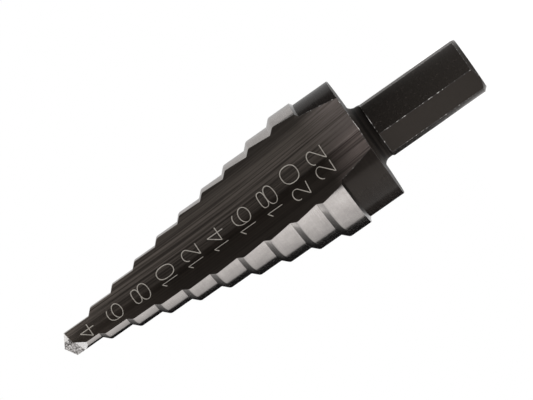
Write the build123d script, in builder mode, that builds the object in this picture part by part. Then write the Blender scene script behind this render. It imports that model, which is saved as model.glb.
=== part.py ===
"""Single-flute step drill, turned and ground from one bar of tool steel.

The drill stands on the end of its shank, with its axis on Z and its point upwards.
The origin is the centre of the shank's end face. The wheel that ground the flute
ran in the YZ plane, on the -Y side of the axis. The tool cuts clockwise as seen
from its shank, so each cutting edge faces counter-clockwise as seen from above.
"""

from build123d import *
import os
from math import cos, radians, sin, tan

# Shank, gripped by its three flats in a three-jaw chuck
shank_diameter = 9.525
shank_length = 17.1
shank_end_chamfer = 0.55
shank_end_crown_radius = 2.0
flat_count = 3
flat_depth = 0.46
first_flat_angle = -21.6
flat_run_out_angle = 27.0

# Neck between the shank and the collar
neck_length = 2.0
neck_undercut = 0.2
neck_shoulder_angle = 45.0
neck_fillet = 1.3

# Collar, the full bar behind the largest step
collar_diameter = 20.4
collar_length = 6.55
collar_edge_break = 0.06

# Steps, counted from the point
step_count = 10
first_step_diameter = 4.0
step_rise = 2.0
first_land_length = 4.7
land_length = 3.8
step_chamfer_angle = 45.0
point_angle = 118.0
point_offset = 0.12
point_offset_turn = 163.4
point_clearance_angle = 3.4
back_ramp_angle = 65.0
land_relief = 0.034

# Flute: a wide V, ground straight and then run out on the wheel's own radius
flute_floor_depth = 0.1
flute_floor_slope = -0.6
flute_straight_length = 16.4
flute_wheel_radius = 133.0
flute_wheel_turn = 45.0
rake_wall_angle = 52.0
heel_wall_angle = 54.8
flute_root_radius = 0.55

# Gash that thins the web and brings the lip to the centre of the point
lip_face_angle = 10.7
lip_face_turn = -119.3
gash_shoulder_angle = 43.0
gash_shoulder_turn = -133.6
gash_length = 1.48

# Heights that follow from the sizes above
shank_radius = shank_diameter / 2
neck_radius = shank_radius - neck_undercut
neck_shoulder_length = neck_undercut / tan(radians(neck_shoulder_angle))
collar_radius = collar_diameter / 2
collar_bottom = shank_length + neck_length
collar_top = collar_bottom + collar_length
step_chamfer_length = step_rise / 2 / tan(radians(step_chamfer_angle))
step_pitch = land_length + step_chamfer_length
last_step_diameter = first_step_diameter + step_rise * (step_count - 1)
first_land_bottom = collar_top + step_pitch * (step_count - 1)
point_bottom = first_land_bottom + first_land_length
point_length = first_step_diameter / 2 / tan(radians(point_angle / 2))
overall_length = point_bottom + point_length

# The relieved outline starts and ends at this angle, inside the flute
seam_angle = -90.0
spiral_spans = 16
cutter_reach = 1.3 * max(last_step_diameter, collar_diameter)


def direction(angle):
    """Unit vector at an angle round the axis, in degrees from +X."""
    return Vector(cos(radians(angle)), sin(radians(angle)), 0)


def relieved_section(radius, plane):
    """Cross-section whose radius falls steadily behind the cutting edge."""
    edge_turn = rake_wall_angle / 360
    spiral = [
        direction(seam_angle - 360 * turn) * radius * (1 - land_relief * (turn - edge_turn))
        for turn in [span / spiral_spans for span in range(spiral_spans + 1)]
    ]
    with BuildSketch(plane) as section:
        with BuildLine():
            Spline(*spiral)
            Line(spiral[-1], spiral[0])
        make_face()
    return section.sketch


def step_sections():
    """Sections at every corner of the stepped profile, from the point backwards."""
    sections = []
    top = point_base
    bottom = first_land_bottom
    for step in range(step_count):
        radius = (first_step_diameter + step_rise * step) / 2
        sections.append(relieved_section(radius, top))
        sections.append(relieved_section(radius, Plane.XY.offset(bottom)))
        top = Plane.XY.offset(bottom - step_chamfer_length)
        bottom = bottom - step_pitch
    return sections


def back_ramp_section():
    """Small end of the ramp behind the last land, just inside the collar."""
    ramp_radius = collar_radius * (1 - 2 * land_relief)
    ramp_drop = last_step_diameter / 2 - ramp_radius
    ramp_bottom = collar_top - ramp_drop / tan(radians(back_ramp_angle))
    return relieved_section(ramp_radius, Plane.XY.offset(ramp_bottom))


# Point: its cone is set over towards the lip, and its base leans to give the lip clearance
point_side = direction(point_offset_turn)
point_tip = point_side * point_offset + Vector(0, 0, overall_length)
base_rise = point_side * tan(radians(point_clearance_angle))
point_base = Plane(
    origin=(0, 0, point_bottom),
    x_dir=(1, 0, base_rise.X),
    z_dir=Vector(0, 0, 1) - base_rise,
)

# Stepped cone: one ruled loft through the corners of its profile, and the point in front of it
steps = step_sections()
with BuildPart() as step_cone:
    loft(sections=steps + [back_ramp_section()], ruled=True)
    loft(sections=[steps[0], Vertex(point_tip)], ruled=True)

# Collar, neck and shank, turned from the bar
with BuildPart() as turned_blank:
    with BuildSketch(Plane.XZ):
        with BuildLine():
            shank_end = Polyline((0, collar_top), (0, 0), (shank_radius - shank_end_chamfer, 0))
            end_chamfer = RadiusArc(
                shank_end @ 1, (shank_radius, shank_end_chamfer), -shank_end_crown_radius
            )
            shank_side = Polyline(
                end_chamfer @ 1,
                (shank_radius, shank_length),
                (neck_radius, shank_length + neck_shoulder_length),
                (neck_radius, collar_bottom - neck_fillet),
            )
            neck_corner = TangentArc(
                shank_side @ 1, (neck_radius + neck_fillet, collar_bottom), tangent=(0, 1)
            )
            Polyline(
                neck_corner @ 1,
                (collar_radius - collar_edge_break, collar_bottom),
                (collar_radius, collar_bottom + collar_edge_break),
                (collar_radius, collar_top),
                (0, collar_top),
            )
        make_face()
    revolve(axis=Axis.Z)

# Cutter for one shank flat, with the slope that the mill leaves where it lifts off at the neck
flat_distance = shank_radius - flat_depth
run_out_top = shank_length + flat_depth / tan(radians(flat_run_out_angle))
with BuildPart() as flat_cutter:
    with BuildSketch(Plane.XZ):
        Polygon(
            (flat_distance, -shank_length),
            (cutter_reach, -shank_length),
            (cutter_reach, run_out_top),
            (shank_radius, run_out_top),
            (flat_distance, shank_length),
            align=None,
        )
    extrude(amount=shank_diameter, both=True)

# Flute cutter: the V of the wheel, straight behind the point and then round the wheel's centre
floor_direction = Vector(0, -sin(radians(flute_floor_slope)), -cos(radians(flute_floor_slope)))
outward = Vector(0, -cos(radians(flute_floor_slope)), sin(radians(flute_floor_slope)))
straight_end = Vector(0, -flute_floor_depth, overall_length) + floor_direction * flute_straight_length
wheel_centre = straight_end + outward * flute_wheel_radius
wheel_plane = Plane(origin=straight_end, x_dir=(-1, 0, 0), z_dir=-floor_direction)
with BuildPart() as flute_cutter:
    with BuildSketch(wheel_plane) as wheel_section:
        with BuildLine():
            rake_end = (cutter_reach * tan(radians(rake_wall_angle)), cutter_reach)
            heel_end = (-cutter_reach * tan(radians(heel_wall_angle)), cutter_reach)
            FilletPolyline(rake_end, (0, 0), heel_end, radius=flute_root_radius)
            Line(heel_end, rake_end)
        make_face()
    extrude(amount=flute_straight_length + cutter_reach)
    revolve(wheel_section.sketch, axis=Axis(wheel_centre, (-1, 0, 0)), revolution_arc=flute_wheel_turn)


def ground_face(angle_to_axis, turn, origin):
    """Plane that leans in towards the point, runs through a place and looks outwards."""
    lean = radians(angle_to_axis)
    return Plane(origin=origin, z_dir=direction(turn) * cos(lean) + Vector(0, 0, sin(lean)))


# Gash cutter: the corner of a small wheel, one face through the tip of the point
lip_face = ground_face(lip_face_angle, lip_face_turn, point_tip)
gash_end = Vector(0, 0, overall_length - gash_length)
gash_shoulder = ground_face(gash_shoulder_angle, gash_shoulder_turn, gash_end)
with BuildPart() as gash_cutter:
    with BuildSketch(lip_face):
        Rectangle(2 * cutter_reach, 2 * cutter_reach)
    extrude(amount=cutter_reach)
    with BuildSketch(gash_shoulder):
        Rectangle(4 * cutter_reach, 4 * cutter_reach)
    extrude(amount=4 * cutter_reach, mode=Mode.INTERSECT)

# The drill: bar and steps together, then the cuts in the order that a grinder makes them
with BuildPart() as step_drill:
    add(turned_blank)
    add(step_cone)
    with PolarLocations(0, flat_count, start_angle=first_flat_angle):
        add(flat_cutter, mode=Mode.SUBTRACT)
    add(flute_cutter, mode=Mode.SUBTRACT)
    add(gash_cutter, mode=Mode.SUBTRACT)

step_drill.part.label = "step_drill"
os.makedirs("parts", exist_ok=True)
export_step(step_drill.part, "parts/step_drill.step")
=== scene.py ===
import bpy
import math
from mathutils import Matrix, Vector


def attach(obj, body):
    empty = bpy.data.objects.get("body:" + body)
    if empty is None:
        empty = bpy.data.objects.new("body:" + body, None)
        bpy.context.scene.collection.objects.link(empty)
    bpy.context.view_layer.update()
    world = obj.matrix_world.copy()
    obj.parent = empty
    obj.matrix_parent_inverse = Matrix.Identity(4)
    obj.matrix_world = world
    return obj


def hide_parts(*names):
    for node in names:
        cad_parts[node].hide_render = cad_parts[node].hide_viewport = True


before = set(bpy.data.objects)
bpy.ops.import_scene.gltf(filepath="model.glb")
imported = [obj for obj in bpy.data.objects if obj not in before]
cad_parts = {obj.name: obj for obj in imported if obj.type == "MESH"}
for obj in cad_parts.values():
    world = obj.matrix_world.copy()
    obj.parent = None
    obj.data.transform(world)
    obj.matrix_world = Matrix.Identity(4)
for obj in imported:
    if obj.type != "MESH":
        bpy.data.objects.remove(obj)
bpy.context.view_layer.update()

MM = 0.001

# Sizes that the solid drill has too, with lengths in millimetres and angles in degrees
SHANK_RADIUS = 4.7625
SHANK_LENGTH = 17.1
END_CHAMFER = 0.55
FLAT_DEPTH = 0.46
FLAT_ANGLES = (-21.6, 98.4, -141.6)
FLAT_RUN_OUT = 27
NECK_LENGTH = 2.0
NECK_UNDERCUT = 0.2
NECK_FILLET = 1.3
COLLAR_RADIUS = 10.2
COLLAR_LENGTH = 6.55
EDGE_BREAK = 0.06
STEP_COUNT = 10
STEP_RISE = 1.0
FIRST_RADIUS = 2.0
LAND_LENGTH = 3.8
STEP_CHAMFER_ANGLE = 45
FIRST_LAND_LENGTH = 4.7
BACK_RAMP_ANGLE = 65
LAND_RELIEF = 0.034
POINT_ANGLE = 118
POINT_OFFSET = 0.12
POINT_TURN = 163.4
POINT_CLEARANCE = 3.4
GASH_LENGTH = 1.48
FLUTE_DEPTH = 0.1
FLUTE_SLOPE = -0.6
FLUTE_STRAIGHT = 16.4
WHEEL_RADIUS = 133.0
RAKE_WALL = 52
HEEL_WALL = 54.8
ROOT_RADIUS = 0.55

# Sizes that follow from those
NECK_RADIUS = SHANK_RADIUS - NECK_UNDERCUT
COLLAR_BOTTOM = SHANK_LENGTH + NECK_LENGTH
COLLAR_TOP = COLLAR_BOTTOM + COLLAR_LENGTH
LAST_RADIUS = FIRST_RADIUS + STEP_RISE * (STEP_COUNT - 1)
BACK_RAMP = (LAST_RADIUS - COLLAR_RADIUS) / math.tan(math.radians(BACK_RAMP_ANGLE))
STEP_PITCH = LAND_LENGTH + STEP_RISE
POINT_BOTTOM = COLLAR_TOP + STEP_PITCH * (STEP_COUNT - 1) + FIRST_LAND_LENGTH
LENGTH = POINT_BOTTOM + FIRST_RADIUS / math.tan(math.radians(POINT_ANGLE / 2))
POINT_SIDE = Vector((math.cos(math.radians(POINT_TURN)), math.sin(math.radians(POINT_TURN)), 0))
POINT_TIP = POINT_SIDE * POINT_OFFSET + Vector((0, 0, LENGTH))

# Sizes that only the looks have: rounded corners of the lands, worn edges, strokes of the numbers
CORNER_RADIUS = 0.6
EDGE_WEAR = 0.05
STROKE_RADIUS = 0.105
STROKE_LIFT = 0.065

# Ground faces at the point, each with its lean to the axis, its turn round the axis and a place on it.
# The gash has the first two. The other three are of the heel's shallow cut, which only the looks have.
LIP_FACE = (10.7, -119.3, POINT_TIP)
SHOULDER = (43.0, -133.6, (0, 0, LENGTH - GASH_LENGTH))
HEEL_FACET = (7.0, HEEL_WALL - 180, (0.595, -0.50, LENGTH - GASH_LENGTH))
HEEL_SHOULDER = (43.0, -130, (0, 0, LENGTH - 1.50))
HEEL_SIDE = (0, HEEL_WALL - 90, (0.03, -0.02, LENGTH))

# Spans of the round shapes, how far the wheel is swept, and how far the cutters reach
TURNING_SPANS = 240
CORNER_SPANS = 5
FILLET_SPANS = 10
ROOT_SPANS = 8
WHEEL_TURN = 45
WHEEL_SPANS = 90
REACH = 30.0

# Places nearer than the first are welded, and places nearer than the second count as the same
WELD = 0.0005
NEAR = 0.01

# Edges sharper than the first angle can wear, and those sharper than the second stay crisp
SHARP_ANGLE = 22
CRISP_ANGLE = 12

# The camera looks into the flute, a little from the rake wall's side and from below
VIEW_AZIMUTH = math.radians(-16.6)
VIEW_ELEVATION = math.radians(-4)
VIEW_ROLL = math.radians(35.09)
VIEW_DISTANCE = 400.0
VIEW_LENS = 179.8
VIEW_SENSOR = 36
VIEW_CENTRE_FROM_TIP = 38.04
VIEW_CENTRE_ACROSS = -0.80

TOWARDS_CAMERA = Vector((
    math.sin(VIEW_AZIMUTH) * math.cos(VIEW_ELEVATION),
    -math.cos(VIEW_AZIMUTH) * math.cos(VIEW_ELEVATION),
    math.sin(VIEW_ELEVATION),
))
ACROSS = Vector((-math.cos(VIEW_AZIMUTH), -math.sin(VIEW_AZIMUTH), 0))
ALONG = ACROSS.cross(TOWARDS_CAMERA) * -1
VIEW_CENTRE = Vector((0, 0, LENGTH - VIEW_CENTRE_FROM_TIP)) + ACROSS * VIEW_CENTRE_ACROSS
CAMERA_PLACE = VIEW_CENTRE + TOWARDS_CAMERA * VIEW_DISTANCE


# ---------------------------------------------------------------- modelling by hand

def deselect():
    """Leaves nothing selected, so that an operator acts only on what is chosen next."""
    for item in list(bpy.context.selected_objects):
        item.select_set(False)


def activate(piece):
    deselect()
    piece.select_set(True)
    bpy.context.view_layer.objects.active = piece


def edit(piece, select="DESELECT"):
    activate(piece)
    bpy.ops.object.mode_set(mode="EDIT")
    bpy.ops.mesh.select_mode(type="VERT")
    bpy.ops.mesh.select_all(action=select)


def leave_edit():
    bpy.ops.object.mode_set(mode="OBJECT")


def apply_modifier(piece, kind, **settings):
    """Adds a modifier with its settings and makes its result the piece's own mesh."""
    activate(piece)
    modifier = piece.modifiers.new(kind.title(), kind)
    for name, value in settings.items():
        setattr(modifier, name, value)
    bpy.ops.object.modifier_apply(modifier=modifier.name)


def draw_wire(name, points):
    """Draws a line of edges through points in millimetres, and stays in edit mode."""
    places = [Vector(point) * MM for point in points]
    deselect()
    bpy.ops.mesh.primitive_plane_add(size=MM, location=(0, 0, 0))
    piece = bpy.context.object
    piece.name = name
    piece.data.name = name
    bpy.ops.object.mode_set(mode="EDIT")
    bpy.ops.mesh.select_all(action="SELECT")
    bpy.ops.mesh.merge(type="CENTER")
    bpy.ops.transform.translate(value=places[0])
    for start, end in zip(places, places[1:]):
        bpy.ops.mesh.extrude_vertices_move(TRANSFORM_OT_translate={"value": end - start})
    bpy.ops.mesh.select_all(action="SELECT")
    return piece


def select_faces(piece, test):
    """Selects in edit mode the faces that pass a test."""
    bpy.ops.mesh.select_all(action="DESELECT")
    bpy.ops.mesh.select_mode(type="FACE")
    leave_edit()
    for face in piece.data.polygons:
        face.select = test(face)
    bpy.ops.object.mode_set(mode="EDIT")


def draw_face(name, points):
    """Draws a closed outline through points in millimetres, fills it, and stays in edit mode."""
    piece = draw_wire(name, points)
    bpy.ops.mesh.edge_face_add()
    return piece


def close_up(piece):
    """Welds the seam and poles of a piece and turns its faces outwards."""
    edit(piece, "SELECT")
    bpy.ops.mesh.remove_doubles(threshold=WELD * MM)
    bpy.ops.mesh.normals_make_consistent(inside=False)
    leave_edit()


def arc_points(centre, radius, start, end, spans):
    """Points of an arc in a plane, with its angles in degrees."""
    angles = [math.radians(start + (end - start) * i / spans) for i in range(spans + 1)]
    return [(centre[0] + radius * math.cos(a), centre[1] + radius * math.sin(a)) for a in angles]


def cut(piece, cutter, finish, **settings):
    """Cuts a shape out of a piece and gives the new faces a finish."""
    cutter.data.materials.clear()
    cutter.data.materials.append(finish)
    apply_modifier(
        piece, "BOOLEAN", operation="DIFFERENCE", solver="EXACT", object=cutter,
        material_mode="TRANSFER", **settings
    )
    bpy.data.objects.remove(cutter)


def middle(piece, edge):
    """Place of an edge's middle in millimetres."""
    start, end = [piece.data.vertices[index].co for index in edge.vertices]
    return (start + end) / 2 / MM


def wear_edges(piece, finish, width, test):
    """Breaks by a hair the sharp edges whose middles pass a test, and gives them a finish."""
    piece.data.materials.append(finish)
    edit(piece)
    bpy.ops.mesh.select_mode(type="EDGE")
    bpy.ops.mesh.edges_select_sharp(sharpness=math.radians(SHARP_ANGLE))
    leave_edit()
    chosen = [edge.index for edge in piece.data.edges if edge.select and test(middle(piece, edge))]
    edit(piece)
    bpy.ops.mesh.select_mode(type="EDGE")
    leave_edit()
    for index in chosen:
        piece.data.edges[index].select = True
    bpy.ops.object.mode_set(mode="EDIT")
    bpy.ops.mesh.bevel(
        offset=width * MM, segments=1, clamp_overlap=False, material=len(piece.data.materials) - 1
    )
    leave_edit()


# ---------------------------------------------------------------- shader maths

class Socket:
    """An output in a finish's node tree that can be added, subtracted and multiplied."""

    def __init__(self, finish, output):
        self.finish = finish
        self.output = output

    def maths(self, operation, *values):
        """Output of one Math node that works on sockets or numbers."""
        sockets = dict(enumerate(values))
        return self.finish.node("ShaderNodeMath", {"operation": operation}, sockets)

    def __add__(self, other):
        return self.maths("ADD", self, other)

    def __sub__(self, other):
        return self.maths("SUBTRACT", self, other)

    def __rsub__(self, other):
        return self.maths("SUBTRACT", other, self)

    def __mul__(self, other):
        return self.maths("MULTIPLY", self, other)

    __radd__ = __add__
    __rmul__ = __mul__


class Finish:
    """Nodes of a new material or of the world, with sizes in millimetres."""

    def __init__(self, name, world=None):
        self.material = world or bpy.data.materials.new(name)
        self.material.use_nodes = True
        self.tree = self.material.node_tree
        self.tree.nodes.clear()

    def node(self, kind, settings=None, sockets=None, output=0):
        """Adds a node, sets what it does, then its sockets, and gives one of its outputs."""
        made = self.tree.nodes.new(kind)
        for name, value in (settings or {}).items():
            if name == "stops":
                self.set_stops(made, value)
            else:
                setattr(made, name, value)
        for name, value in (sockets or {}).items():
            if isinstance(value, Socket):
                self.tree.links.new(value.output, made.inputs[name])
            else:
                made.inputs[name].default_value = value
        return Socket(self, made.outputs[output]) if made.outputs else made

    @staticmethod
    def set_stops(ramp, stops):
        """Gives a colour ramp its stops, each a place and a shade of grey."""
        for _ in stops[2:]:
            ramp.color_ramp.elements.new(0.5)
        for element, (place, shade) in zip(ramp.color_ramp.elements, stops):
            element.position = place
            element.color = (shade, shade, shade, 1)

    def place(self, axis):
        """Place along X, Y or Z in millimetres."""
        place = self.node("ShaderNodeTexCoord", output="Object")
        return self.node("ShaderNodeSeparateXYZ", {}, {0: place}, axis) * (1 / MM)

    def seen(self):
        """One where the camera, a reflection or a refraction looks, and nought for soft light."""
        path = self.node("ShaderNodeLightPath")
        rays = ("Is Camera Ray", "Is Glossy Ray", "Is Transmission Ray")
        camera, glossy, through = [Socket(self, path.output.node.outputs[ray]) for ray in rays]
        return camera + glossy + through

    def grain(self, per_mm, detail=2.0, roughness=0.5):
        """Noise with its own count of waves per millimetre along X, Y and Z."""
        place = self.node("ShaderNodeTexCoord", output="Object")
        stretch = [count / MM for count in per_mm]
        place = self.node("ShaderNodeVectorMath", {"operation": "MULTIPLY"}, {0: place, 1: stretch})
        sockets = {"Vector": place, "Scale": 1.0, "Detail": detail, "Roughness": roughness}
        return self.node("ShaderNodeTexNoise", {}, sockets)

    def ramp(self, value, *stops):
        """Shade that follows a value from stop to stop."""
        return self.node("ShaderNodeValToRGB", {"stops": stops}, {0: value})

    def mix(self, share, first, second):
        """Blend of two colours, each given as red, green and blue or as a socket."""
        first, second = [(*tone, 1) if isinstance(tone, tuple) else tone for tone in (first, second)]
        # The Mix node has its share first, its colours at 6 and 7, and its blended colour at 2
        return self.node("ShaderNodeMix", {"data_type": "RGBA"}, {0: share, 6: first, 7: second}, 2)

    def bump(self, height, depth):
        """Normal of a surface whose height runs over a depth in millimetres."""
        sockets = {"Height": height, "Distance": depth * MM, "Strength": 1.0}
        return self.node("ShaderNodeBump", {}, sockets)

    def surface(self, **sockets):
        """Finished material, with the named sockets of its surface set or linked."""
        named = {name.replace("_", " "): value for name, value in sockets.items()}
        shader = self.node("ShaderNodeBsdfPrincipled", {}, named)
        self.node("ShaderNodeOutputMaterial", {}, {"Surface": shader})
        return self.material


# Tint that black oxide gives to what it reflects
WARM = (1.0, 0.90, 0.82, 1)


def ground_steel():
    """Bright lands and step chamfers, with the fine rings that the wheel leaves."""
    finish = Finish("ground_steel")
    rings = finish.grain((0.05, 0.05, 9), detail=3, roughness=0.6)
    cloud = finish.grain((0.5, 0.5, 0.35), detail=4, roughness=0.6)
    tone = finish.ramp(rings * 0.3 + cloud * 0.7, (0.3, 0.0), (0.7, 1.0))
    return finish.surface(
        Base_Color=finish.mix(tone, (0.52, 0.485, 0.465), (0.67, 0.63, 0.605)),
        Metallic=1.0,
        Roughness=rings * 0.08 + cloud * 0.06 + 0.09,
        Normal=finish.bump(rings, 0.0008),
    )


def bright_point():
    """Mottled steel of the point's cone, the lip face and the heel's cut, with a painted highlight that
    makes the heel's side near white.
    """
    finish = Finish("bright_point")
    blotch = finish.grain((3.4, 3.4, 3.4), detail=4, roughness=0.7)
    tone = finish.ramp(blotch, (0.40, 0.0), (0.60, 1.0))
    mottled = finish.mix(tone, (0.11, 0.10, 0.095), (0.80, 0.77, 0.755))
    # Painted highlight: beyond X of about half a millimetre, with a blotchy border, the steel is painted
    # near white
    heel = finish.ramp(finish.place(0) + blotch * 0.6, (0.78, 0.0), (0.95, 1.0))
    return finish.surface(
        Base_Color=finish.mix(heel, mottled, (0.93, 0.90, 0.88)),
        Metallic=1.0,
        Roughness=blotch * 0.3 + 0.2,
        Normal=finish.bump(blotch, 0.012),
    )


def bright_shoulder():
    """Ground shoulder of the gash, painted near white as a highlight."""
    finish = Finish("bright_shoulder")
    blotch = finish.grain((2.6, 2.6, 2.6), detail=3, roughness=0.6)
    return finish.surface(
        # Painted highlight: near-white steel, brighter than the rest of the point
        Base_Color=finish.mix(blotch, (0.92, 0.89, 0.88), (1.0, 0.99, 0.98)),
        Metallic=0.6,
        Roughness=blotch * 0.15 + 0.3,
        Normal=finish.bump(blotch, 0.004),
    )


def black_flute():
    """Black oxide over the brush lines of the flute wheel, with painted light: the heel wall is painted
    paler than the rake wall, and a painted sheen pales the walls where the flute runs out.
    """
    finish = Finish("black_flute")
    lines = finish.grain((3.6, 0.15, 0.02), detail=4, roughness=0.7)
    bands = finish.grain((0.7, 0.08, 0.015), detail=2)
    light = finish.ramp(lines * 0.8 + bands * 0.2, (0.43, 0.0), (0.57, 1.0))
    across = finish.place(0)
    # Painted light: this mask gives the heel wall a paler tone than the rake wall, as if it were lit more
    heel = finish.ramp(across * 0.25 + 0.5, (0.45, 0.0), (0.78, 1.0))
    # Darker where X is beyond about 3.5 mm, on the heel's side
    outer = finish.ramp(across * 0.1, (0.35, 0.0), (0.65, 0.95))
    # The rake wall gets paler towards the tip
    small = finish.ramp((LENGTH - finish.place(2)) * 0.05, (0.0, 1.0), (1.0, 0.0))
    rake_tone = finish.mix(light * 0.33 + small * 0.85, (0.013, 0.010, 0.008), (0.068, 0.055, 0.046))
    heel_tone = finish.mix(light, (0.026, 0.021, 0.0175), (0.125, 0.106, 0.092))
    tone = finish.mix(outer, finish.mix(heel, rake_tone, heel_tone), (0.014, 0.0115, 0.0095))
    # Painted sheen: a pale tone where the flute runs out into the collar, paler on the rake wall's side
    wear_and_sheen = finish.mix(heel, (0.25, 0.205, 0.19), (0.165, 0.14, 0.13))
    run_out = finish.ramp((COLLAR_TOP + 1 - finish.place(2)) * 0.12, (0.05, 0.0), (0.7, 1.0))
    return finish.surface(
        Base_Color=finish.mix(run_out * (light * 0.7 + 0.3), tone, wear_and_sheen),
        Metallic=0.25,
        Specular_IOR_Level=0.3,
        Specular_Tint=WARM,
        Roughness=lines * 0.2 + 0.32,
        Normal=finish.bump(lines, 0.006),
    )


def black_turned():
    """Black oxide over the fine rings of the turned collar."""
    finish = Finish("black_turned")
    rings = finish.grain((0.04, 0.04, 7), detail=3, roughness=0.6)
    cloud = finish.grain((0.5, 0.5, 0.5), detail=3)
    tone = rings * 0.6 + cloud * 0.4
    return finish.surface(
        Base_Color=finish.mix(tone, (0.0065, 0.005, 0.0042), (0.018, 0.014, 0.0118)),
        Metallic=0.0,
        Specular_IOR_Level=0.32,
        Specular_Tint=WARM,
        Roughness=rings * 0.12 + 0.14,
        Normal=finish.bump(rings, 0.004),
    )


def black_shank():
    """Smooth black oxide of the shank, with small worn specks."""
    finish = Finish("black_shank")
    specks = finish.grain((3.5, 3.5, 2.2), detail=4, roughness=0.7)
    wear_and_sheen = finish.ramp(specks, (0.60, 0.0), (0.72, 1.0))
    return finish.surface(
        Base_Color=finish.mix(wear_and_sheen, (0.0085, 0.0065, 0.0052), (0.06, 0.05, 0.044)),
        Metallic=0.1,
        Specular_IOR_Level=0.36,
        Specular_Tint=WARM,
        Roughness=specks * 0.15 + 0.13,
        Normal=finish.bump(specks, 0.004),
    )


def black_neck():
    """Dull black oxide in the rings of the neck, on the flats' run-outs and behind the collar."""
    finish = Finish("black_neck")
    rings = finish.grain((0.02, 0.02, 1.4), detail=3, roughness=0.6)
    tone = finish.ramp(rings, (0.4, 0.0), (0.65, 1.0))
    return finish.surface(
        Base_Color=finish.mix(tone, (0.008, 0.0065, 0.0055), (0.036, 0.030, 0.026)),
        Metallic=0.0,
        Specular_IOR_Level=0.05,
        Roughness=0.5,
        Normal=finish.bump(rings, 0.01),
    )


def worn_edge_and_glint():
    """Edges that have rubbed bare of oxide in patches, and a painted glint: bright bare metal along a
    stretch of the shank's top edge.
    """
    finish = Finish("worn_edge_and_glint")
    patch = finish.grain((1.7, 1.7, 1.7), detail=4, roughness=0.75)
    # Painted glint: bright bare metal from just below the shank's top edge upwards, within about a
    # millimetre of X of 0.55
    glint_middle = 0.55
    across = (finish.place(0) - glint_middle) * 0.25 + 0.5
    stretch = finish.ramp(across, (0.25, 0.0), (0.35, 1.0), (0.65, 1.0), (0.75, 0.0))
    shank_top = finish.ramp(finish.place(2) - SHANK_LENGTH + 0.5, (0.2, 0.0), (0.3, 1.0))
    bare_and_glint = finish.ramp(patch, (0.55, 0.0), (0.64, 1.0)) + stretch * shank_top
    return finish.surface(
        Base_Color=finish.mix(bare_and_glint, (0.016, 0.013, 0.011), (0.80, 0.77, 0.74)),
        Metallic=bare_and_glint * 0.8,
        Roughness=0.4,
        Normal=finish.bump(patch, 0.01),
    )


def black_flat():
    """Milled and blackened flats of the shank."""
    finish = Finish("black_flat")
    lines = finish.grain((0.3, 0.3, 4.0), detail=3)
    return finish.surface(
        Base_Color=finish.mix(lines, (0.014, 0.011, 0.009), (0.020, 0.016, 0.0135)),
        Metallic=0.2,
        Specular_IOR_Level=0.3,
        Specular_Tint=WARM,
        Roughness=lines * 0.15 + 0.35,
        Normal=finish.bump(lines, 0.002),
    )


def etched_line():
    """Pale grooves of the size numbers."""
    finish = Finish("etched_line")
    grain = finish.grain((8, 8, 8), detail=3, roughness=0.7)
    return finish.surface(
        Base_Color=finish.mix(grain, (0.62, 0.57, 0.51), (0.98, 0.93, 0.85)),
        Metallic=0.0,
        Roughness=0.6,
        Normal=finish.bump(grain, 0.01),
    )


# ---------------------------------------------------------------- the drill

def land_outline():
    """Half outline of the stepped cone as (radius, height), from the back ramp to the tip."""
    setback = CORNER_RADIUS * math.tan(math.radians(STEP_CHAMFER_ANGLE / 2))
    points = [(COLLAR_RADIUS, COLLAR_TOP - BACK_RAMP)]
    bottom = COLLAR_TOP
    for step in range(STEP_COUNT - 1):
        radius = LAST_RADIUS - step * STEP_RISE
        top = bottom + LAND_LENGTH
        points += [(radius, bottom)]
        corner = (radius - CORNER_RADIUS, top - setback)
        points += arc_points(corner, CORNER_RADIUS, 0, STEP_CHAMFER_ANGLE, CORNER_SPANS)
        bottom = top + STEP_RISE
    return points + [(FIRST_RADIUS, bottom), (FIRST_RADIUS, POINT_BOTTOM), (0, LENGTH)]


def shank_outline():
    """Half outline of the shank, neck and collar as (radius, height), from the shank's end."""
    neck_corner = (NECK_RADIUS + NECK_FILLET, COLLAR_BOTTOM - NECK_FILLET)
    points = [(0, 0), (SHANK_RADIUS - END_CHAMFER, 0), (SHANK_RADIUS, END_CHAMFER)]
    points += [(SHANK_RADIUS, SHANK_LENGTH), (NECK_RADIUS, SHANK_LENGTH + SHANK_RADIUS - NECK_RADIUS)]
    points += arc_points(neck_corner, NECK_FILLET, 180, 90, FILLET_SPANS)
    points += [(COLLAR_RADIUS - EDGE_BREAK, COLLAR_BOTTOM), (COLLAR_RADIUS, COLLAR_BOTTOM + EDGE_BREAK)]
    return points


def relieve(piece):
    """Draws the stepped cone in behind its cutting edge, leans the point's base and sets its tip over."""
    for vertex in piece.data.vertices:
        place = vertex.co / MM
        if place.z > COLLAR_TOP - BACK_RAMP / 2:
            behind = math.degrees(math.atan2(-place.x, -place.y)) % 360
            place.xy *= 1 - LAND_RELIEF * (behind - RAKE_WALL) / 360
        if abs(place.z - POINT_BOTTOM) < NEAR:
            place.z += place.dot(POINT_SIDE) * math.tan(math.radians(POINT_CLEARANCE))
        if place.z > LENGTH - NEAR:
            place = POINT_TIP
        vertex.co = place * MM


def turned_bar():
    """The whole drill as one turned and relieved body, with no flats and no flute yet."""
    outline = shank_outline() + land_outline()
    piece = draw_wire("drill_body", [(0, -radius, height) for radius, height in outline])
    bpy.ops.mesh.spin(steps=TURNING_SPANS, angle=math.tau, center=(0, 0, 0), axis=(0, 0, 1))
    leave_edit()
    close_up(piece)
    relieve(piece)
    return piece


def finish_bar(piece, *finishes):
    """Gives the shank, neck, collar, lands and point a finish each, in that order."""
    for finish in finishes:
        piece.data.materials.append(finish)
    tops = (SHANK_LENGTH * MM, (COLLAR_BOTTOM - NEAR) * MM, (COLLAR_TOP - NEAR) * MM, POINT_BOTTOM * MM)
    for face in piece.data.polygons:
        face.material_index = sum(face.center.z > top for top in tops)


def facing(lean, turn):
    """Direction that a ground face looks in."""
    lean, turn = math.radians(lean), math.radians(turn)
    return Vector((math.cos(turn) * math.cos(lean), math.sin(turn) * math.cos(lean), math.sin(lean)))


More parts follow.
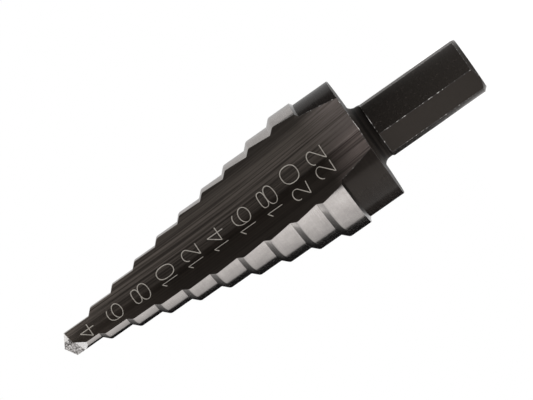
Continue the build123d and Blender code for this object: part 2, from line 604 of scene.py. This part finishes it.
def flute_cutter():
    """The wheel's V, drawn along the straight of the flute and round the wheel's own centre."""
    slope = math.radians(FLUTE_SLOPE)
    along = Vector((0, -math.sin(slope), -math.cos(slope)))
    outward = Vector((0, -math.cos(slope), math.sin(slope)))
    sideways = Vector((-1, 0, 0))
    end = Vector((0, -FLUTE_DEPTH, LENGTH)) + along * FLUTE_STRAIGHT
    rake, heel = math.radians(RAKE_WALL), math.radians(HEEL_WALL)
    lean = (rake - heel) / 2
    from_apex = ROOT_RADIUS / math.sin((rake + heel) / 2)
    root_centre = (from_apex * math.sin(lean), from_apex * math.cos(lean))
    outline = [(REACH * math.sin(rake), REACH * math.cos(rake))]
    outline += arc_points(root_centre, ROOT_RADIUS, -RAKE_WALL, HEEL_WALL - 180, ROOT_SPANS)
    outline += [(-REACH * math.sin(heel), REACH * math.cos(heel))]
    piece = draw_face("flute_cutter", [end + sideways * side + outward * out for side, out in outline])
    overrun = ROOT_RADIUS * 4
    bpy.ops.mesh.extrude_region_move(
        TRANSFORM_OT_translate={"value": along * -(FLUTE_STRAIGHT + overrun) * MM}
    )
    select_faces(piece, lambda face: all(
        abs((piece.data.vertices[index].co / MM - end).dot(along)) < NEAR for index in face.vertices
    ))
    bpy.ops.mesh.spin(
        steps=WHEEL_SPANS, angle=math.radians(WHEEL_TURN),
        center=(end + outward * WHEEL_RADIUS) * MM, axis=(1, 0, 0)
    )
    leave_edit()
    close_up(piece)
    return piece


def flat_cutter(angle):
    """Block that mills one flat of the shank and lifts off at the neck."""
    distance = SHANK_RADIUS - FLAT_DEPTH
    top = SHANK_LENGTH + FLAT_DEPTH / math.tan(math.radians(FLAT_RUN_OUT))
    outline = [
        (distance, -REACH), (REACH, -REACH), (REACH, top), (SHANK_RADIUS, top), (distance, SHANK_LENGTH)
    ]
    turn = Matrix.Rotation(math.radians(angle), 3, "Z")
    width = Vector((0, 2 * SHANK_RADIUS, 0))
    corners = [turn @ (Vector((out, 0, height)) - width) for out, height in outline]
    piece = draw_face("flat_cutter", corners)
    bpy.ops.mesh.extrude_region_move(TRANSFORM_OT_translate={"value": turn @ width * 2 * MM})
    leave_edit()
    close_up(piece)
    return piece


def corner_cutter(name, *faces):
    """Corner of a wheel that cuts along its faces, given as lean, turn and place."""
    deselect()
    bpy.ops.mesh.primitive_cube_add(size=2 * REACH * MM, location=(0, 0, LENGTH * MM))
    piece = bpy.context.object
    piece.name = name
    bpy.ops.object.transform_apply(location=True, rotation=False, scale=False)
    edit(piece, "SELECT")
    for lean, turn, place in faces:
        bpy.ops.mesh.select_all(action="SELECT")
        bpy.ops.mesh.bisect(
            plane_co=Vector(place) * MM, plane_no=facing(lean, turn), use_fill=True, clear_inner=True
        )
    leave_edit()
    close_up(piece)
    return piece


# ---------------------------------------------------------------- size numbers

def ring(centre, radii, power=2.0, start=0, end=360, count=36):
    """Points of an ellipse, or of a squarer ring with a higher power."""
    points = []
    for step in range(count + 1):
        angle = math.radians(start + (end - start) * step / count)
        reach = (abs(math.cos(angle)) ** power + abs(math.sin(angle)) ** power) ** (-1 / power)
        points.append((
            centre[0] + radii[0] * reach * math.cos(angle), centre[1] + radii[1] * reach * math.sin(angle)
        ))
    return points


def line(start, end, count=16):
    """Points of a straight stroke."""
    return [tuple(a + (b - a) * step / count for a, b in zip(start, end)) for step in range(count + 1)]


# Each figure's strokes in a box one unit wide and one unit high
FIGURES = {
    "0": [ring((0.5, 0.5), (0.5, 0.5), power=2.4)],
    "1": [line((0, 0.80), (1, 1), 4) + line((1, 1), (1, 0))[1:]],
    "2": [
        ring((0.5, 0.72), (0.5, 0.28), start=175, end=-20, count=20)
        + line((0.94, 0.60), (0.0, 0.02)) + line((0.0, 0.02), (1, 0))[1:]
    ],
    "2 leaning": [
        ring((0.45, 0.74), (0.45, 0.26), start=195, end=-25, count=20)
        + line((0.86, 0.60), (0.0, 0.09)) + line((0.0, 0.09), (1, 0))[1:]
    ],
    "4": [line((0, 0.34), (0.62, 1)), line((0.62, 1), (0.62, 0)), line((0, 0.34), (1, 0.34))],
    "6": [
        ring((0.5, 0.5), (0.5, 0.5), power=2.3, start=45, end=180, count=18)
        + line((0, 0.48), (0, 0.31), 3),
        ring((0.5, 0.31), (0.5, 0.31)),
    ],
    "8": [
        ring((0.5, 0.79), (0.43, 0.21), power=2.8),
        ring((0.5, 0.29), (0.5, 0.29), power=2.2),
    ],
}

# Each figure with its top and bottom from the tip, and its left and right side from the axis
SIZE_NUMBERS = [
    ("4", 3.52, 5.90, 0.87, -1.11),
    ("6", 8.45, 10.89, 0.99, -1.23),
    ("8", 13.11, 15.87, 1.12, -1.44),
    ("1", 17.87, 20.62, 1.22, 0.68), ("0", 17.92, 20.74, 0.20, -1.68),
    ("1", 22.70, 25.35, 1.25, 0.70), ("2", 22.65, 25.42, 0.08, -1.69),
    ("1", 27.34, 29.90, 1.37, 0.85), ("4", 27.32, 30.13, 0.24, -1.95),
    ("1", 32.09, 34.85, 1.67, 0.93), ("6", 32.04, 34.89, 0.23, -2.14),
    ("1", 36.95, 39.61, 1.80, 1.09), ("8", 36.96, 39.73, 0.32, -2.64),
    ("2 leaning", 41.59, 44.43, 2.14, 0.18), ("0", 41.65, 44.44, -0.62, -3.35),
    ("2", 46.38, 49.21, 1.59, -0.36), ("2", 46.45, 49.21, -0.87, -3.06),
]


def on_flute(body, from_tip, across):
    """Point on the flute's wall under a place seen by the camera, a little proud of the wall."""
    seen = VIEW_CENTRE + ALONG * (from_tip - VIEW_CENTRE_FROM_TIP) + ACROSS * (across - VIEW_CENTRE_ACROSS)
    _, place, normal, _ = body.ray_cast(CAMERA_PLACE * MM, (seen - CAMERA_PLACE).normalized())
    return place / MM + normal * STROKE_LIFT


def number_cutter(body):
    """Round-nosed strokes of all size numbers, lying along the flute's walls."""
    strokes = []
    for figure, top, bottom, left, right in SIZE_NUMBERS:
        for stroke in FIGURES[figure]:
            points = [
                on_flute(body, bottom + (top - bottom) * high, left + (right - left) * wide)
                for wide, high in stroke
            ]
            wire = draw_wire("stroke", points)
            bpy.ops.mesh.remove_doubles(threshold=NEAR * MM)
            leave_edit()
            activate(wire)
            bpy.ops.object.convert(target="CURVE")
            curve = bpy.context.object
            curve.data.bevel_depth = STROKE_RADIUS * MM
            curve.data.bevel_resolution = 1
            curve.data.use_fill_caps = True
            bpy.ops.object.convert(target="MESH")
            strokes.append(bpy.context.object)
    deselect()
    for stroke in strokes:
        stroke.select_set(True)
    bpy.context.view_layer.objects.active = strokes[0]
    bpy.ops.object.join()
    close_up(strokes[0])
    return strokes[0]


def dress_faces(body, finish, test):
    """Gives the faces whose normal and middle pass a test another finish."""
    materials = body.data.materials
    if finish.name not in materials:
        materials.append(finish)
    slot = materials.find(finish.name)
    for face in body.data.polygons:
        if test(face.normal, face.center / MM):
            face.material_index = slot


def on_gash_shoulder(normal, place):
    """The gash's shoulder: the faces near the point that look its way."""
    same_way, near_point = 0.999, LENGTH - 6
    return normal.dot(facing(*SHOULDER[:2])) > same_way and place.z > near_point


def looks_back(normal, place):
    """The flats' run-outs and the collar's rear face, which look back towards the shank's end."""
    backwards = -0.2
    return normal.z < backwards and SHANK_LENGTH < place.z < COLLAR_BOTTOM + NEAR


def edge_rubs(place):
    """The shank's edges, and those of the flute's exit from the collar but not the collar's rear rim."""
    margin, rim_width, below_lands = 0.1, 0.3, COLLAR_TOP - 0.5
    on_shank = margin < place.z < SHANK_LENGTH + EDGE_WEAR
    on_collar = COLLAR_BOTTOM - margin < place.z < below_lands
    on_rim = place.z <= COLLAR_BOTTOM + margin and place.xy.length >= COLLAR_RADIUS - rim_width
    return on_shank or on_collar and not on_rim


def drill_body():
    """The drill, cut in a grinder's order and then dressed, in place of the solid."""
    neck, flat, point = black_neck(), black_flat(), bright_point()
    body = turned_bar()
    finish_bar(body, black_shank(), neck, black_turned(), ground_steel(), point)
    for angle in FLAT_ANGLES:
        cut(body, flat_cutter(angle), flat)
    cut(body, flute_cutter(), black_flute())
    cut(body, number_cutter(body), etched_line(), use_self=True)
    cut(body, corner_cutter("gash_cutter", LIP_FACE, SHOULDER), point)
    cut(body, corner_cutter("heel_cutter", HEEL_FACET, HEEL_SHOULDER, HEEL_SIDE), point)
    dress_faces(body, bright_shoulder(), on_gash_shoulder)
    dress_faces(body, neck, looks_back)
    wear_edges(body, worn_edge_and_glint(), EDGE_WEAR, edge_rubs)
    activate(body)
    bpy.ops.object.shade_smooth_by_angle(angle=math.radians(CRISP_ANGLE))
    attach(body, "root")
    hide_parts("step_drill")
    return body


# ---------------------------------------------------------------- stage

# Stage sizes in millimetres, except the floor's, which are in metres
CARD_DISTANCE = 700
LAMP_DISTANCE = 600
FLOOR_SIZE = 6
FLOOR_DROP = 0.00002

WHITE = (1, 1, 1, 1)


def studio_world():
    """White where the camera or a reflection looks, and half as bright as a source of soft light."""
    world = bpy.context.scene.world or bpy.data.worlds.new("World")
    bpy.context.scene.world = world
    finish = Finish("World", world)
    grey = finish.node("ShaderNodeBackground", {}, {"Color": WHITE, "Strength": 0.5})
    white = finish.node("ShaderNodeBackground", {}, {"Color": WHITE, "Strength": 1.0})
    both = finish.node("ShaderNodeMixShader", {}, {0: finish.seen(), 1: grey, 2: white})
    finish.node("ShaderNodeOutputWorld", {}, {"Surface": both})


def floor_finish():
    """Pale floor that shows white to the camera and to reflections, and keeps the drill's shadow."""
    finish = Finish("floor_white")
    paper = finish.node("ShaderNodeBsdfDiffuse", {}, {"Color": (0.8, 0.8, 0.8, 1)})
    lit = finish.node("ShaderNodeEmission", {}, {"Color": WHITE, "Strength": 0.75})
    both = finish.node("ShaderNodeAddShader", {}, {0: paper, 1: lit})
    mixed = finish.node("ShaderNodeMixShader", {}, {0: finish.seen(), 1: paper, 2: both})
    finish.node("ShaderNodeOutputMaterial", {}, {"Surface": mixed})
    return finish.material


def studio_floor():
    """Floor a hair below the end of the shank, on which the drill stands."""
    deselect()
    bpy.ops.mesh.primitive_grid_add(
        x_subdivisions=4, y_subdivisions=4, size=FLOOR_SIZE, location=(0, 0, -FLOOR_DROP)
    )
    floor = bpy.context.object
    floor.name = "floor"
    floor.data.materials.append(floor_finish())


def card(name, turn, spread, low, high, first, last, axis=1):
    """Card that only shows in reflections, with the angles between which it stands.

    The turn is measured from the camera round to the cutting edge's side. The shade goes from
    the first to the last: along the upper half where the axis is 1, and from side to side where it is 0.
    """
    outward = Vector(TOWARDS_CAMERA)
    outward.z = 0
    outward = outward.normalized() * math.cos(math.radians(turn)) + ACROSS * math.sin(math.radians(turn))
    bottom, top = [CARD_DISTANCE * math.tan(math.radians(angle)) for angle in (low, high)]
    width = 2 * CARD_DISTANCE * math.tan(math.radians(spread / 2))
    deselect()
    bpy.ops.mesh.primitive_grid_add(x_subdivisions=4, y_subdivisions=4, size=1)
    made = bpy.context.object
    made.name = name
    made.scale = (width * MM, (top - bottom) * MM, 1)
    made.rotation_mode = "QUATERNION"
    made.rotation_quaternion = outward.to_track_quat("Z", "Y")
    made.location = (Vector((0, 0, LENGTH / 2 + (top + bottom) / 2)) + outward * CARD_DISTANCE) * MM
    finish = Finish(name)
    along = finish.place(axis) * MM + 0.5
    shade = finish.ramp(along, (0.5 * axis, first), (1.0, last))
    glow = finish.node("ShaderNodeEmission", {}, {"Color": shade, "Strength": 1.0})
    finish.node("ShaderNodeOutputMaterial", {}, {"Surface": glow})
    made.data.materials.append(finish.material)
    made.visible_camera = False
    made.visible_diffuse = False
    made.visible_shadow = False


def soft_light(name, direction, size, power):
    """Square lamp that looks at the drill from one side and doesn't show in its reflections."""
    centre = Vector((0, 0, LENGTH / 2)) * MM
    light = bpy.data.lights.new(name, "AREA")
    light.size = size * MM
    light.energy = power
    lamp = bpy.data.objects.new(name, light)
    bpy.context.scene.collection.objects.link(lamp)
    lamp.rotation_mode = "QUATERNION"
    lamp.rotation_quaternion = direction.to_track_quat("Z", "Y")
    lamp.location = centre + direction * LAMP_DISTANCE * MM
    lamp.visible_glossy = False


def studio_camera():
    """Camera that looks into the flute, rolled so that the point is at the lower left."""
    right = ALONG * math.cos(VIEW_ROLL) + ACROSS * math.sin(VIEW_ROLL)
    up = ALONG * math.sin(VIEW_ROLL) - ACROSS * math.cos(VIEW_ROLL)
    lens = bpy.data.cameras.new("camera")
    lens.lens = VIEW_LENS
    lens.sensor_width = VIEW_SENSOR
    lens.clip_start = 0.01
    lens.clip_end = 50
    camera = bpy.data.objects.new("camera", lens)
    bpy.context.scene.collection.objects.link(camera)
    turn = Matrix((right, up, TOWARDS_CAMERA)).transposed().to_4x4()
    camera.matrix_world = Matrix.Translation(CAMERA_PLACE * MM) @ turn
    bpy.context.scene.camera = camera


def build_stage():
    """Everything round the drill: world, floor, camera, cards and lamp."""
    bpy.context.scene.view_settings.view_transform = "Standard"
    studio_world()
    studio_floor()
    studio_camera()
    card("card_front", turn=7.5, spread=75, low=-22, high=22, first=0.06, last=0.06)
    card("card_side", turn=-73, spread=86, low=-22, high=22, first=0.06, last=0.06)
    card("card_behind", turn=149, spread=58, low=-40, high=60, first=0.010, last=0.32)
    card("card_heel", turn=-148, spread=64, low=-60, high=60, first=0.54, last=0.54)
    card("card_edge", turn=82.5, spread=75, low=-50, high=75, first=0.45, last=1.0, axis=0)
    key_side = TOWARDS_CAMERA * 0.3 + ACROSS * 0.95
    soft_light("key_light", key_side.normalized(), size=300, power=3)


drill_body()
build_stage()
